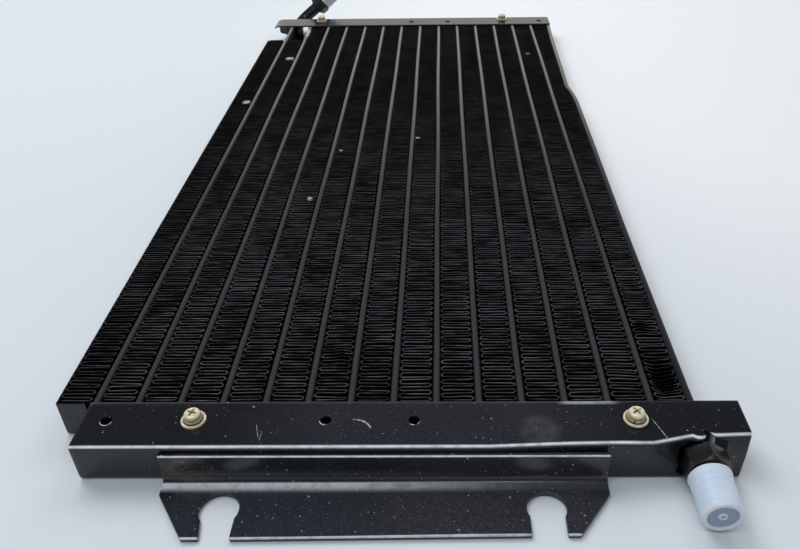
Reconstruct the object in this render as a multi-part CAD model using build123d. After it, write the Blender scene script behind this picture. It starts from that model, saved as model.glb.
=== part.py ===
"""Serpentine air conditioning condenser, in millimetres, +Z up, front (outlet) side towards -Y.

One flat tube snakes to and fro between corrugated fin strips. A folded channel clamps the
hairpin bends at each end, and a slotted bracket on the front channel hooks over two mounting pins.
"""

import os
from math import cos, pi, radians, sin, sqrt

from build123d import *

# Core
tube_runs = 15
tube_width = 22.0
tube_thickness = 5.0
tube_edge = 1.6
fin_height = 18.0
fin_end_gap = 1.0
fin_legs = 84
fin_sheet = 0.5
channel_gap = 672.0
short_strip_cut = 57.0

# Side plate of the outer fin strip
side_sheet = 0.8
side_tab = 16.0

# End channels
channel_sheet = 1.2
channel_depth = 32.0
channel_fold = 2.5
channel_flush = 1.0
channel_overhang = 22.5
screw_line = 13.6
spare_hole_r = 3.0
spare_hole_gaps = (0, 5, 7)
screw_gaps = (2, 12)
cutout_radius = 15.6
cutout_clearance = 0.4

# Hook bracket
bracket_sheet = 3.0
bracket_width = 228.0
bracket_shift = -3.5
bracket_leg = 20.5
bracket_reach = 38.0
bracket_bend = 4.0
slot_spacing = 162.4
slot_radius = 9.9
slot_setback = 21.2
throat_width = 17.2
throat_slant = 2.4
corner_cut_x = 18.0
corner_cut_y = 26.0

# Clamp screws, washers and spacers
screw_r = 2.5
screw_clearance = 0.4
thread_clearance = 0.05
screw_length = 14.0
head_r = 4.7
head_height = 3.6
head_round = 1.8
cross_width = 1.3
cross_length = 5.2
cross_depth = 1.6
flat_washer_r = 7.0
flat_washer_sheet = 1.3
spring_washer_r = 5.1
spring_washer_sheet = 1.4
spring_split = 1.0
spacer_r = 5.5

# Blocks and unions
block_width = 18.0
block_length = 8.0
block_taper = 5.0
block_chamfer = 2.0
neck_r = 7.6
passage_r = 4.0
union_setback = 3.4
union_across_flats = 21.0
union_turn = 27.0
union_hex_length = 11.0
thread_r = 9.0
thread_length = 15.0
nose_r = 6.6
nose_length = 8.0
ring_r = 0.9
ring_setback = 3.2
cap_r = 11.1
cap_end_r = 10.2
cap_clearance = 0.15
cap_end_sheet = 1.8
cap_rim = 1.3
cap_nub_r = 2.1
cap_gap = 2.0

# Inlet pipe
pipe_r = 7.0
pipe_wall = 1.5
pipe_straight = 21.5
pipe_side = 25.0
pipe_rise = 20.0
pipe_bend_r = 16.0

run_pitch = tube_thickness + fin_height
core_half = (tube_runs - 1) / 2 * run_pitch
fin_length = channel_gap - 2 * fin_end_gap
front_edge = -channel_gap / 2
tube_floor = channel_sheet
channel_height = tube_width + 2 * channel_sheet
mid_height = channel_height / 2
web_front = front_edge - channel_depth
tube_end = front_edge - screw_line + block_length / 2
bend_r = run_pitch / 2
neck_length = tube_end - block_length - block_taper - web_front - union_setback
union_corner = union_across_flats / 2 / cos(radians(30))
cutout_floor = union_corner + cutout_clearance
cutout_depth = union_setback + cutout_clearance
nodes = {}


def run_x(number):
    """The centre of one tube run, counted from the left."""
    return number * run_pitch - core_half


def gap_x(number):
    """The middle between a run and the next one."""
    return run_x(number) + run_pitch / 2


def turned(shape):
    """A copy turned half round the vertical axis, for the rear end."""
    return Rot(0, 0, 180) * shape


def ring(outer_r, inner_r, height):
    """A flat ring standing on the XY plane."""
    base_plane = (Align.CENTER, Align.CENTER, Align.MIN)
    return Cylinder(outer_r, height, align=base_plane) - Cylinder(inner_r, height, align=base_plane)


def tube_path():
    """The centre line of the tube: straight runs joined by half circles."""
    front = front_edge - screw_line
    rear = -front
    pieces = []
    for number in range(tube_runs):
        x = run_x(number)
        near = tube_end if number == tube_runs - 1 else front
        far = -tube_end if number == 0 else rear
        pieces.append(Line((x, far), (x, near)) if number % 2 == 0 else Line((x, near), (x, far)))
        if number == tube_runs - 1:
            break
        end_y, bulge = (front, -bend_r) if number % 2 == 0 else (rear, bend_r)
        pieces.append(ThreePointArc((x, end_y), (x + bend_r, end_y + bulge), (x + run_pitch, end_y)))
    return Wire(pieces)


def serpentine_tube():
    """A flat tube with softened edges, swept along its path."""
    path = Pos(0, 0, mid_height) * tube_path()
    start = Plane(origin=path @ 0, x_dir=(1, 0, 0), z_dir=(0, -1, 0))
    section = Rectangle(tube_thickness, tube_width)
    section = chamfer(section.vertices(), tube_edge)
    return sweep(start * section, path=path)


def fin_strip(center_x, length, start_y):
    """A zigzag ribbon whose crests touch the tube runs on both sides."""
    legs = max(2, round(fin_legs * length / fin_length))
    step = length / legs
    slant = sqrt(step**2 + fin_height**2) / step
    half_ribbon = fin_sheet * slant / 4
    swing = fin_height / 2 - half_ribbon
    crests = [(swing * (-1) ** number, start_y + number * step) for number in range(legs + 1)]
    one_side = [(x - half_ribbon, y) for x, y in crests]
    other_side = [(x + half_ribbon, y) for x, y in reversed(crests)]
    outline = make_face(Polyline(one_side + other_side, close=True))
    return Pos(center_x, 0, tube_floor) * extrude(outline, tube_width)


def side_plate(center_x, start_y, length):
    """The thin plate outside the outer strip, with a tab folded over the strip's near end."""
    outer_x = center_x - fin_height / 2 - side_sheet
    corner = [
        (outer_x + side_sheet, start_y + length),
        (outer_x, start_y + length),
        (outer_x, start_y - side_sheet),
        (outer_x + side_tab, start_y - side_sheet),
        (outer_x + side_tab, start_y),
        (outer_x + side_sheet, start_y),
    ]
    plate = Pos(0, 0, tube_floor) * extrude(make_face(Polyline(corner, close=True)), tube_width)
    fold = plate.edges().filter_by(Axis.Z).group_by(Axis.Y)[0].sort_by(Axis.X)[0]
    return fillet(fold, side_sheet * 0.9)


def end_channel():
    """The folded channel that clamps the front hairpins, with its open side towards the core."""
    start_x = run_x(0) - tube_thickness / 2 + channel_flush
    end_x = run_x(tube_runs - 1) + channel_overhang
    outer = Rectangle(channel_depth, channel_height, align=(Align.MIN, Align.MIN))
    outer = fillet(outer.vertices().group_by(Axis.X)[0], channel_fold)
    hollow_size = (channel_depth - channel_sheet, channel_height - 2 * channel_sheet)
    hollow = Pos(channel_sheet, channel_sheet) * Rectangle(*hollow_size, align=(Align.MIN, Align.MIN))
    hollow = fillet(hollow.vertices().group_by(Axis.X)[0], channel_fold - channel_sheet)
    section = Plane(origin=(start_x, web_front, 0), x_dir=(0, 1, 0), z_dir=(1, 0, 0))
    body = extrude(section * (outer - hollow), end_x - start_x)
    hole_y = front_edge - screw_line
    for number in spare_hole_gaps:
        body -= Pos(gap_x(number), hole_y, mid_height) * Cylinder(spare_hole_r, 2 * channel_height)
    for number in screw_gaps:
        screw_hole = Cylinder(screw_r + screw_clearance, channel_height)
        body -= Pos(gap_x(number), hole_y, channel_height) * screw_hole
    return body - fitting_cutout()


def fitting_cutout():
    """The rough six-sided hole in the web round the fitting, open through the lower fold."""
    corners = [(cutout_radius * sin(k * pi / 3), cutout_radius * cos(k * pi / 3)) for k in range(6)]
    outline = make_face(Polyline(corners, close=True))
    outline -= Pos(0, -cutout_floor) * Rectangle(
        4 * cutout_radius, 2 * cutout_radius, align=(Align.CENTER, Align.MAX)
    )
    face = Plane(origin=(run_x(tube_runs - 1), web_front, mid_height), x_dir=(1, 0, 0), z_dir=(0, -1, 0))
    return extrude(face * outline, cutout_depth, both=True)


def hook_bracket():
    """An L of thick sheet: one leg on the channel's web, the other with two open hook slots."""
    profile = Rectangle(bracket_reach, bracket_leg, align=(Align.MAX, Align.MIN))
    profile -= Pos(-bracket_sheet, bracket_sheet) * Rectangle(
        bracket_reach, bracket_leg, align=(Align.MAX, Align.MIN)
    )
    inner = profile.vertices().sort_by_distance((-bracket_sheet, bracket_sheet))[0]
    profile = fillet(inner, bracket_bend)
    outer = profile.vertices().sort_by_distance((0, 0))[0]
    profile = fillet(outer, bracket_bend + bracket_sheet)
    section = Plane(
        origin=(bracket_shift - bracket_width / 2, web_front, 0), x_dir=(0, 1, 0), z_dir=(1, 0, 0)
    )
    body = extrude(section * profile, bracket_width)
    front = web_front - bracket_reach
    slot_y = web_front - slot_setback
    half_throat = throat_width / 2
    for side, slant in ((-1, throat_slant), (1, 0)):
        x = bracket_shift + side * slot_spacing / 2
        body -= Pos(x, slot_y, 0) * Cylinder(slot_radius, 4 * bracket_sheet)
        throat = [
            (x - half_throat, slot_y), (x + half_throat, slot_y),
            (x + half_throat, front), (x - half_throat + slant, front),
        ]
        body -= extrude(make_face(Polyline(throat, close=True)), 2 * bracket_sheet, both=True)
        end = bracket_shift + side * bracket_width / 2
        cut = [(end, front), (end - side * corner_cut_x, front), (end, front + corner_cut_y)]
        wedge = extrude(make_face(Polyline(cut, close=True)), 2 * bracket_sheet, both=True)
        body -= wedge
    return body


def clamp_screw():
    """A pan head screw with a cross recess, its head resting on the XY plane."""
    head = Cylinder(head_r, head_height, align=(Align.CENTER, Align.CENTER, Align.MIN))
    head = fillet(head.edges().group_by(Axis.Z)[-1], head_round)
    shank = Cylinder(screw_r, screw_length, align=(Align.CENTER, Align.CENTER, Align.MAX))
    shank = chamfer(shank.edges().group_by(Axis.Z)[0], 0.6)
    recess = Box(cross_length, cross_width, 2 * cross_depth) + Box(cross_width, cross_length, 2 * cross_depth)
    return head + shank - Pos(0, 0, head_height) * recess


def spring_washer():
    """A split ring pressed flat under the screw's head, with its slanted split."""
    body = ring(spring_washer_r, screw_r + screw_clearance, spring_washer_sheet)
    split = Rot(35, 0, 0) * Box(2 * spring_washer_r, spring_split, 6 * spring_washer_sheet)
    return body - Pos(spring_washer_r, 0, spring_washer_sheet / 2) * split


def spacer_sleeve():
    """The threaded sleeve that holds the channel's flanges apart inside a hairpin."""
    return ring(spacer_r, screw_r + thread_clearance, tube_width)


def fitting_block():
    """The block at the tube's end, tapering to a round neck that reaches the union."""
    along = Plane(origin=(0, 0, 0), x_dir=(1, 0, 0), z_dir=(0, -1, 0))
    base = extrude(along * Rectangle(block_width, tube_width), block_length)
    base = chamfer(base.edges().filter_by(Axis.Y), block_chamfer)
    start = (Align.CENTER, Align.CENTER, Align.MIN)
    taper = along * Pos(0, 0, block_length) * Cone(block_width / 2, neck_r, block_taper, align=start)
    neck = along * Pos(0, 0, block_length + block_taper) * Cylinder(neck_r, neck_length, align=start)
    end = along * Pos(0, 0, block_length + block_taper + neck_length)
    passage = extrude(end * Circle(passage_r), -neck_length - block_taper - block_length / 2)
    return base + taper + neck - passage


def union_fitting():
    """A union along +Z: neck, hexagon, thread cylinder and a nose with its ring groove."""
    hexagon = extrude(Rot(0, 0, union_turn) * RegularPolygon(union_corner, 6), union_hex_length)
    bevel_r = union_corner + union_hex_length / 2
    both_ends = Cone(bevel_r, union_across_flats / 2 * 0.96, union_hex_length,
                     align=(Align.CENTER, Align.CENTER, Align.MIN))
    hexagon = hexagon & both_ends
    thread_top = union_hex_length + thread_length
    stem = Pos(0, 0, union_hex_length) * Cylinder(
        thread_r, thread_length, align=(Align.CENTER, Align.CENTER, Align.MIN)
    )
    stem = chamfer(stem.edges().group_by(Axis.Z)[-1], 1.2)
    nose = Pos(0, 0, thread_top) * Cylinder(
        nose_r, nose_length, align=(Align.CENTER, Align.CENTER, Align.MIN)
    )
    nose = chamfer(nose.edges().group_by(Axis.Z)[-1], 0.8)
    groove = Pos(0, 0, thread_top + ring_setback) * ring(nose_r, nose_r - ring_r, 2.2 * ring_r)
    bore = Cylinder(passage_r, 2 * (thread_top + nose_length))
    return hexagon + stem + nose - groove - bore


def seal_ring():
    """The square-section rubber ring in the nose's groove, in the union's own axes."""
    height = union_hex_length + thread_length + ring_setback
    return Pos(0, 0, height) * ring(nose_r + ring_r, nose_r - ring_r, 2 * ring_r)


def transit_cap():
    """The soft plug cap over the thread: a cup with a rimmed end and a small moulding nub."""
    start = union_hex_length + cap_gap
    inside = union_hex_length + thread_length + nose_length + cap_clearance
    length = inside + cap_end_sheet + cap_rim - start
    lower = (Align.CENTER, Align.CENTER, Align.MIN)
    cup = Pos(0, 0, start) * Cone(cap_r, cap_end_r, length, align=lower)
    cup = chamfer(cup.edges().group_by(Axis.Z)[-1], 0.7)
    hollow = Pos(0, 0, start) * Cylinder(thread_r + cap_clearance, inside - start, align=lower)
    dish = Pos(0, 0, start + length - cap_rim) * Cylinder(cap_end_r * 0.72, cap_rim, align=lower)
    nub = Pos(0, 0, start + length - cap_rim) * ring(cap_nub_r, cap_nub_r / 2, cap_rim * 0.8)
    return cup - hollow - dish + nub


def inlet_route():
    """The inlet pipe's centre line: out through the web, then up and across behind the core."""
    start = Vector(run_x(0), -tube_end + block_length + block_taper + neck_length, mid_height)
    corner = start + Vector(0, pipe_straight, 0)
    end = corner + Vector(pipe_side, 0, pipe_rise)
    return FilletPolyline(start, corner, end, radius=pipe_bend_r)


def inlet_pipe(route):
    """A round pipe along the inlet route."""
    start = Plane(origin=route @ 0, z_dir=route % 0)
    return sweep(start * (Circle(pipe_r) - Circle(pipe_r - pipe_wall)), path=route)


def add(name, shape):
    nodes[name] = shape


def add_core():
    add("serpentine_tube", serpentine_tube())
    full_start = -fin_length / 2
    short_length = fin_length - short_strip_cut
    for gap in range(tube_runs - 1):
        length = short_length if gap == 0 else fin_length
        add(f"fin_strip_{gap + 1:02d}", fin_strip(gap_x(gap), length, full_start))
    outer_x = run_x(0) - run_pitch / 2
    add("fin_strip_00", fin_strip(outer_x, short_length, full_start))
    add("left_side_plate", side_plate(outer_x, full_start - fin_sheet, short_length))


def add_ends():
    channel = end_channel()
    add("front_channel", channel)
    add("rear_channel", turned(channel))
    add("mounting_bracket", hook_bracket())
    hole_y = front_edge - screw_line
    stack = channel_height + flat_washer_sheet
    number = 0
    for end in (lambda shape: shape, turned):
        for gap in screw_gaps:
            number += 1
            place = Pos(gap_x(gap), hole_y, 0)
            flat = ring(flat_washer_r, screw_r + screw_clearance, flat_washer_sheet)
            add(f"spacer_sleeve_{number}", end(place * Pos(0, 0, tube_floor) * spacer_sleeve()))
            add(f"flat_washer_{number}", end(place * Pos(0, 0, channel_height) * flat))
            add(f"spring_washer_{number}", end(place * Pos(0, 0, stack) * spring_washer()))
            screw = Pos(0, 0, stack + spring_washer_sheet) * clamp_screw()
            add(f"clamp_screw_{number}", end(place * screw))


def add_fittings():
    outlet = Pos(run_x(tube_runs - 1), tube_end, mid_height)
    neck_end = -block_length - block_taper - neck_length
    add("outlet_block", outlet * fitting_block())
    outlet_union = outlet * Plane(origin=(0, neck_end, 0), x_dir=(1, 0, 0), z_dir=(0, -1, 0)).location
    add("inlet_block", turned(outlet * fitting_block()))
    route = inlet_route()
    add("inlet_pipe", inlet_pipe(route))
    inlet_union = Plane(origin=route @ 1, x_dir=(0, 1, 0), z_dir=route % 1).location
    for side, place in (("outlet", outlet_union), ("inlet", inlet_union)):
        add(f"{side}_union", place * union_fitting())
        add(f"{side}_seal_ring", place * seal_ring())
        add(f"{side}_transit_cap", place * transit_cap())


add_core()
add_ends()
add_fittings()

box = Compound([solid for shape in nodes.values() for solid in shape.solids()]).bounding_box()
to_origin = Pos(-(box.min.X + box.max.X) / 2, -(box.min.Y + box.max.Y) / 2, -box.min.Z)
os.makedirs("parts", exist_ok=True)
for name, shape in nodes.items():
    export_step(to_origin * shape, f"parts/{name}.step")
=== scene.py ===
"""Looks of the serpentine condenser: folded channels, flat tube, fine fins, bracket and caps."""

import math
from random import Random

import bpy
import numpy as np
from mathutils import Matrix, Vector


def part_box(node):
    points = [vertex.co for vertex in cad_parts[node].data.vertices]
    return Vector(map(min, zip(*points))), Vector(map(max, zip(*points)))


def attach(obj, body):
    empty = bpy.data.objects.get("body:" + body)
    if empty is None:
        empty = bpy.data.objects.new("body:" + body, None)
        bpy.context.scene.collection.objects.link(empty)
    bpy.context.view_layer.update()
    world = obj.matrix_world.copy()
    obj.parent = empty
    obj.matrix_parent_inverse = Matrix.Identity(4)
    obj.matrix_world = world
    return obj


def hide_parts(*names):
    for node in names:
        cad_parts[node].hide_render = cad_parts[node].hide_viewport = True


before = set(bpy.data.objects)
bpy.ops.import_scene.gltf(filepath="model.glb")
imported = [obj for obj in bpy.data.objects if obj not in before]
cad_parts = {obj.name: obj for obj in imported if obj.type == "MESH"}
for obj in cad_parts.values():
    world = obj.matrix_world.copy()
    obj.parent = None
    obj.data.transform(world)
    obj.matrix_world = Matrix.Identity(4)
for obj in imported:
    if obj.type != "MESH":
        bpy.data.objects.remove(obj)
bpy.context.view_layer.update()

MM = 0.001
BODY = "root"
JOIN_GAP = 1e-6

# Sizes read from the frame
tube_low, tube_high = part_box("serpentine_tube")
channel_low, channel_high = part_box("front_channel")
first_fin_low, first_fin_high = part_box("fin_strip_01")
last_fin_low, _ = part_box("fin_strip_14")
STRIPS = 15
RUNS = 15
FIN_HEIGHT = first_fin_high.x - first_fin_low.x
RUN_PITCH = (last_fin_low.x - first_fin_low.x) / (RUNS - 2)
TUBE_HALF = (RUN_PITCH - FIN_HEIGHT) / 2
TUBE_WIDTH = tube_high.z - tube_low.z
MID_HEIGHT = (tube_high.z + tube_low.z) / 2
FIRST_RUN = tube_low.x + TUBE_HALF
BEND_R = RUN_PITCH / 2
FRONT_EDGE = channel_high.y
CHANNEL_DEPTH = channel_high.y - channel_low.y
CHANNEL_HEIGHT = channel_high.z - channel_low.z

# Sizes that only the source of the solids states
CHANNEL_SHEET = 1.2 * MM
CHANNEL_FOLD = 2.5 * MM
SCREW_LINE = 13.6 * MM
SPARE_HOLE_R = 3.0 * MM
SPARE_HOLE_GAPS = (0, 5, 7)
SCREW_GAPS = (2, 12)
SCREW_HOLE_R = 2.9 * MM
CUTOUT_R = 15.6 * MM
CUTOUT_TOP_SHARE = 0.785
DRILL_PAST = 5 * MM
HOLE_Y = FRONT_EDGE - SCREW_LINE

# Run 14's outer side, pushed inwards: places along Y and how far, from front to rear
LAST_RUN_PLACES = (-345, -325, -150, 0, 88, 110, 126, 150, 270, 345)
LAST_RUN_PUSH = (1.3, 2.0, 2.6, 1.8, 1.6, 3.0, 6.0, 5.2, 3.2, 0.6)


def run_x(number):
    """The centre of one tube run, counted from the left."""
    return FIRST_RUN + number * RUN_PITCH


def last_run_push(y):
    """How far the last run is pushed inwards at some Y."""
    return np.interp(y / MM, LAST_RUN_PLACES, LAST_RUN_PUSH) * MM


def smooth_step(value, low, high):
    """0 below low, 1 above high, and a soft rise between."""
    share = np.clip((value - low) / (high - low), 0, 1)
    return share * share * (3 - 2 * share)


class Value:
    """A shader socket that takes part in ordinary arithmetic."""

    def __init__(self, finish, socket):
        self.finish = finish
        self.socket = socket

    def _math(self, operation, *values):
        """A Math node on values or numbers."""
        return self.finish.node("ShaderNodeMath", {"operation": operation}, *values)

    def __add__(self, other):
        return self._math("ADD", self, other)

    def __radd__(self, other):
        return self._math("ADD", other, self)

    def __sub__(self, other):
        return self._math("SUBTRACT", self, other)

    def __rsub__(self, other):
        return self._math("SUBTRACT", other, self)

    def __mul__(self, other):
        return self._math("MULTIPLY", self, other)

    def __rmul__(self, other):
        return self._math("MULTIPLY", other, self)

    def __pow__(self, other):
        return self._math("POWER", self, other)

    def __gt__(self, other):
        return self._math("GREATER_THAN", self, other)

    def __lt__(self, other):
        return self._math("LESS_THAN", self, other)

    def __abs__(self):
        return self._math("ABSOLUTE", self)

    def ramp(self, low, high):
        """0 at low and 1 at high, held at both ends."""
        settings = {"interpolation_type": "SMOOTHSTEP"}
        return self.finish.node("ShaderNodeMapRange", settings, self, low, high, 0.0, 1.0)


class Finish:
    """One material and the nodes that vary over its surface."""

    def __init__(self, name, **constants):
        self.material = bpy.data.materials.new(name)
        self.material.use_nodes = True
        self.tree = self.material.node_tree
        self.shader = self.tree.nodes["Principled BSDF"]
        for socket, value in constants.items():
            self.shader.inputs[socket.replace("_", " ")].default_value = value
        place = self.tree.nodes.new("ShaderNodeTexCoord")
        self.place = Value(self, place.outputs["Object"])
        self.x, self.y, self.z = self.split(self.place)

    def node(self, kind, settings, *values, output=0):
        """A node: its settings first, then its sockets in order, where None leaves one alone."""
        node = self.tree.nodes.new(kind)
        for key, value in settings.items():
            if key == "stops":
                self.fill_ramp(node.color_ramp, value)
            else:
                setattr(node, key, value)
        sockets = [socket for socket in node.inputs if socket.enabled]
        for socket, value in zip(sockets, values):
            if isinstance(value, Value):
                self.tree.links.new(value.socket, socket)
            elif value is not None:
                socket.default_value = value
        outputs = [socket for socket in node.outputs if socket.enabled]
        return Value(self, outputs[output])

    @staticmethod
    def fill_ramp(ramp, stops):
        """Give a colour ramp its stops, each a place and a colour."""
        while len(ramp.elements) < len(stops):
            ramp.elements.new(0.5)
        for element, (place, color) in zip(ramp.elements, stops):
            element.position = place
            element.color = (*color, 1.0)

    def shade(self, name):
        """A value painted on the piece's own corners."""
        return self.node("ShaderNodeAttribute", {"attribute_name": name}, output=2)

    def split(self, vector):
        """A vector's X, Y and Z, or a colour's red, green and blue."""
        node = self.tree.nodes.new("ShaderNodeSeparateXYZ")
        self.tree.links.new(vector.socket, node.inputs[0])
        return tuple(Value(self, socket) for socket in node.outputs)

    def noise(self, scale, detail=3.0, roughness=0.55, place=None):
        """A cloudy value from about 0.25 to 0.75."""
        place = place or self.place
        settings = {"noise_dimensions": "3D"}
        return self.node("ShaderNodeTexNoise", settings, place, scale, detail, roughness)

    def stretched(self, x, y, z):
        """Object coordinates drawn out along an axis."""
        settings = {"vector_type": "POINT"}
        return self.node("ShaderNodeMapping", settings, self.place, None, None, (x, y, z))

    def specks(self, scale, size, share):
        """Sparse round specks: one in some of the cells of a Voronoi pattern."""
        settings = {"voronoi_dimensions": "3D", "feature": "F1"}
        distance = self.node("ShaderNodeTexVoronoi", settings, self.place, scale)
        color = self.node("ShaderNodeTexVoronoi", settings, self.place, scale, output=1)
        red, green, _ = self.split(color)
        wanted = red > 1 - share
        return wanted * (1 - distance.ramp(size * 0.4, size)) * (0.4 + 0.6 * green)

    def mix(self, mask, first, second):
        """Two colours mixed by a mask."""
        settings = {"data_type": "RGBA", "clamp_factor": True}
        first = first if isinstance(first, Value) else (*first, 1.0)
        second = second if isinstance(second, Value) else (*second, 1.0)
        return self.node("ShaderNodeMix", settings, mask, first, second)

    def bump(self, height, distance, strength=1.0):
        """A normal that follows a height."""
        return self.node("ShaderNodeBump", {}, strength, distance, None, height)

    def set(self, **sockets):
        """Link values to the shader's sockets and return the material."""
        for name, value in sockets.items():
            self.tree.links.new(value.socket, self.shader.inputs[name.replace("_", " ")])
        return self.material


# Colours as linear red, green and blue
PAINT_BLACK = (0.0068, 0.0074, 0.0100)
DRY_FILM = (0.016, 0.017, 0.021)
DUST = (0.58, 0.60, 0.64)
BARE_SCRATCH = (0.5, 0.52, 0.55)
# White of the highlights painted on the near rims of holes
HOLE_RIM_HIGHLIGHT = (0.75, 0.77, 0.80)
# Bluish white of the highlights painted on folds and edges
FOLD_HIGHLIGHT_WHITE = (0.86, 0.93, 1.0)
BROWN = (0.040, 0.031, 0.027)
# Gold of a reflection painted on the bracket's upright
SLOT_REFLECTION_GOLD = (0.100, 0.066, 0.024)
TUBE_BLACK = (0.0045, 0.0045, 0.0055)
# The next three colours tint the highlight painted along the tube's crown: near, far and on the
# last run
TUBE_NEAR_SHEEN = (0.036, 0.036, 0.042)
TUBE_FAR_SHEEN = (0.27, 0.255, 0.225)
TUBE_LAST_SHEEN = (0.012, 0.013, 0.018)
# Copper colour of one patch on the tube
TUBE_COPPER_TONE = (0.52, 0.40, 0.27)
TUBE_DUST = (0.30, 0.30, 0.30)
FIN_BLACK = (0.0018, 0.0018, 0.0024)
# Grey of the highlight painted along the fins' upper edges
FIN_EDGE_HIGHLIGHT = (0.135, 0.137, 0.152)
FIN_BARE = (0.95, 0.95, 0.98)
ZINC_DULL = (0.88, 0.77, 0.48)
ZINC_BRIGHT = (1.0, 0.96, 0.82)
# Dark of the shade painted in recesses and between the screws and washers
ZINC_PAINTED_SHADE = (0.03, 0.02, 0.008)
CAP_MILKY = (0.66, 0.77, 0.97)
CAP_CLEAR = (0.80, 0.91, 1.0)
# Painted shade in the cap's sunk end
CAP_SUNK_SHADE = (0.38, 0.46, 0.61)
# Painted highlight on the cap's rims and nub
CAP_RIM_HIGHLIGHT = (0.96, 0.98, 1.0)


def near_point(finish, x, y, radius):
    """A mask of 1 near a point seen from above, fading to 0 at the radius."""
    away = ((finish.x - x) ** 2.0 + (finish.y - y) ** 2.0) ** 0.5
    return 1 - away.ramp(radius * 0.5, radius)


def scratch_line(finish, start, end, width):
    """A mask along a thin straight scratch seen from above."""
    (x0, y0), (x1, y1) = start, end
    length = math.hypot(x1 - x0, y1 - y0)
    along_x, along_y = (x1 - x0) / length, (y1 - y0) / length
    dx, dy = finish.x - x0, finish.y - y0
    across = abs(dx * along_y - dy * along_x)
    along = dx * along_x + dy * along_y
    ends = (along > 0.0) * (along < length)
    return ends * (1 - across.ramp(width * 0.4, width))


def painted_rim_highlight(finish, x, y, radius):
    """A painted highlight: a broken bright ring on the near side of a punched hole."""
    away = ((finish.x - x) ** 2.0 + (finish.y - y) ** 2.0) ** 0.5
    ring = 1 - abs(away - radius).ramp(0.2 * MM, 0.55 * MM)
    near_side = (y - 0.2 * MM - finish.y).ramp(0.0, 1.0 * MM)
    return ring * near_side * finish.noise(420.0, 1.0).ramp(0.42, 0.55)


def band(value, start, full, fading, end):
    """1 between full and fading, with soft sides out to start and end."""
    return value.ramp(start, full) * (1 - value.ramp(fading, end))


def channel_fold_highlight(paint):
    """Painted highlight along a channel's upper fold, where its slope faces the lights."""
    return paint.shade("fold")


def front_channel_highlights(paint):
    """Painted highlights on the front channel: along its fold, on part of its inner edge and in one
    faint smudge.
    """
    inner_edge = band(paint.x, 0.086, 0.094, 0.112, 0.122)
    inner_edge = inner_edge * band(paint.y, -0.3345, -0.3331, -0.33, -0.32)
    smudge = near_point(paint, 0.0761, -0.3527, 0.0125) * paint.noise(90.0).ramp(0.2, 0.8)
    top = paint.z.ramp(CHANNEL_HEIGHT - 1.0 * MM, CHANNEL_HEIGHT - 0.4 * MM)
    return paint.shade("fold") + (inner_edge * 0.3 + smudge * 0.06) * top


def bracket_highlights(paint):
    """Painted highlights on the bracket: along its web's top edge, in its inner bend and on its
    front edge.
    """
    low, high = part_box("mounting_bracket")
    bend_y = high.y - 7.0 * MM
    left = 1 - paint.x.ramp(-0.050, 0.085)
    bend = band(paint.y, bend_y - 5.0 * MM, bend_y, bend_y + 1.2 * MM, bend_y + 2.6 * MM) ** 1.6
    bend = bend * paint.z.ramp(2.5 * MM, 2.9 * MM) * (0.05 + 0.75 * left)
    crown = paint.z.ramp(high.z - 0.8 * MM, high.z - 0.3 * MM)
    crown = crown * (1 - paint.y.ramp(high.y - 2.5 * MM, high.y - 1.9 * MM))
    straight = paint.y - paint.x.ramp(low.x + 30 * MM, low.x + 200 * MM) * FRONT_SHEAR
    lip = (1 - straight.ramp(low.y + 0.5 * MM, low.y + 1.0 * MM)) * paint.z.ramp(1.7 * MM, 2.3 * MM)
    return bend + crown * 0.7 + lip * 0.65


# Dust: cells to a metre, a speck's size in its cell, the share of cells with one, and its strength
DUST_SPECKS = ((95.0, 0.075, 0.9, 1.0), (250.0, 0.110, 0.9, 0.85), (480.0, 0.14, 0.8, 0.45))


def gloss_paint(
    name, tint=PAINT_BLACK, scratches=(), patches=(), rim_highlights=(), roughness=0.15, dusty=1.0,
    folds=channel_fold_highlight, painted_sheen=1.0,
):
    """Black stoving paint with dust, fine scratches and a slight orange peel, with painted
    highlights on its folds and, where given, on hole rims.
    """
    paint = Finish(name, IOR=1.5)
    cloud = paint.noise(28.0, 4.0)
    dust = sum(
        paint.specks(scale, size, share * dusty) * strength
        for scale, size, share, strength in DUST_SPECKS
    )
    film = cloud.ramp(0.45, 0.75) * 0.45
    color = paint.mix(film, tint, DRY_FILM)
    for (x, y, z), radius, patch_color, grain in patches:
        away = ((paint.x - x) ** 2.0 + (paint.y - y) ** 2.0 + (paint.z - z) ** 2.0) ** 0.5
        rough = (1 - away.ramp(radius * 0.4, radius)) * paint.noise(grain).ramp(0.25, 0.7)
        color = paint.mix(rough, color, patch_color)
    color = paint.mix(dust * 0.85, color, DUST)
    for start, end, width in scratches:
        mark = scratch_line(paint, start, end, width) * paint.noise(900.0).ramp(0.35, 0.6)
        color = paint.mix(mark * 0.8, color, BARE_SCRATCH)
    for x, y in rim_highlights:
        color = paint.mix(painted_rim_highlight(paint, x, y, SPARE_HOLE_R), color, HOLE_RIM_HIGHLIGHT)
    # Painted highlight: the fold mask lightens the paint towards a bluish white and makes it a
    # little rougher
    fold = folds(paint)
    painted_highlight = fold * (0.65 + 0.35 * paint.noise(160.0).ramp(0.3, 0.6)) * painted_sheen
    color = paint.mix(painted_highlight, color, FOLD_HIGHLIGHT_WHITE)
    rough = roughness + 0.10 * cloud + 0.4 * dust + 0.1 * fold
    peel = paint.noise(700.0, 2.0) * 0.25 + paint.noise(42.0, 2.0)
    return paint.set(Base_Color=color, Roughness=rough, Normal=paint.bump(peel, 0.00018, 0.5))


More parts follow.
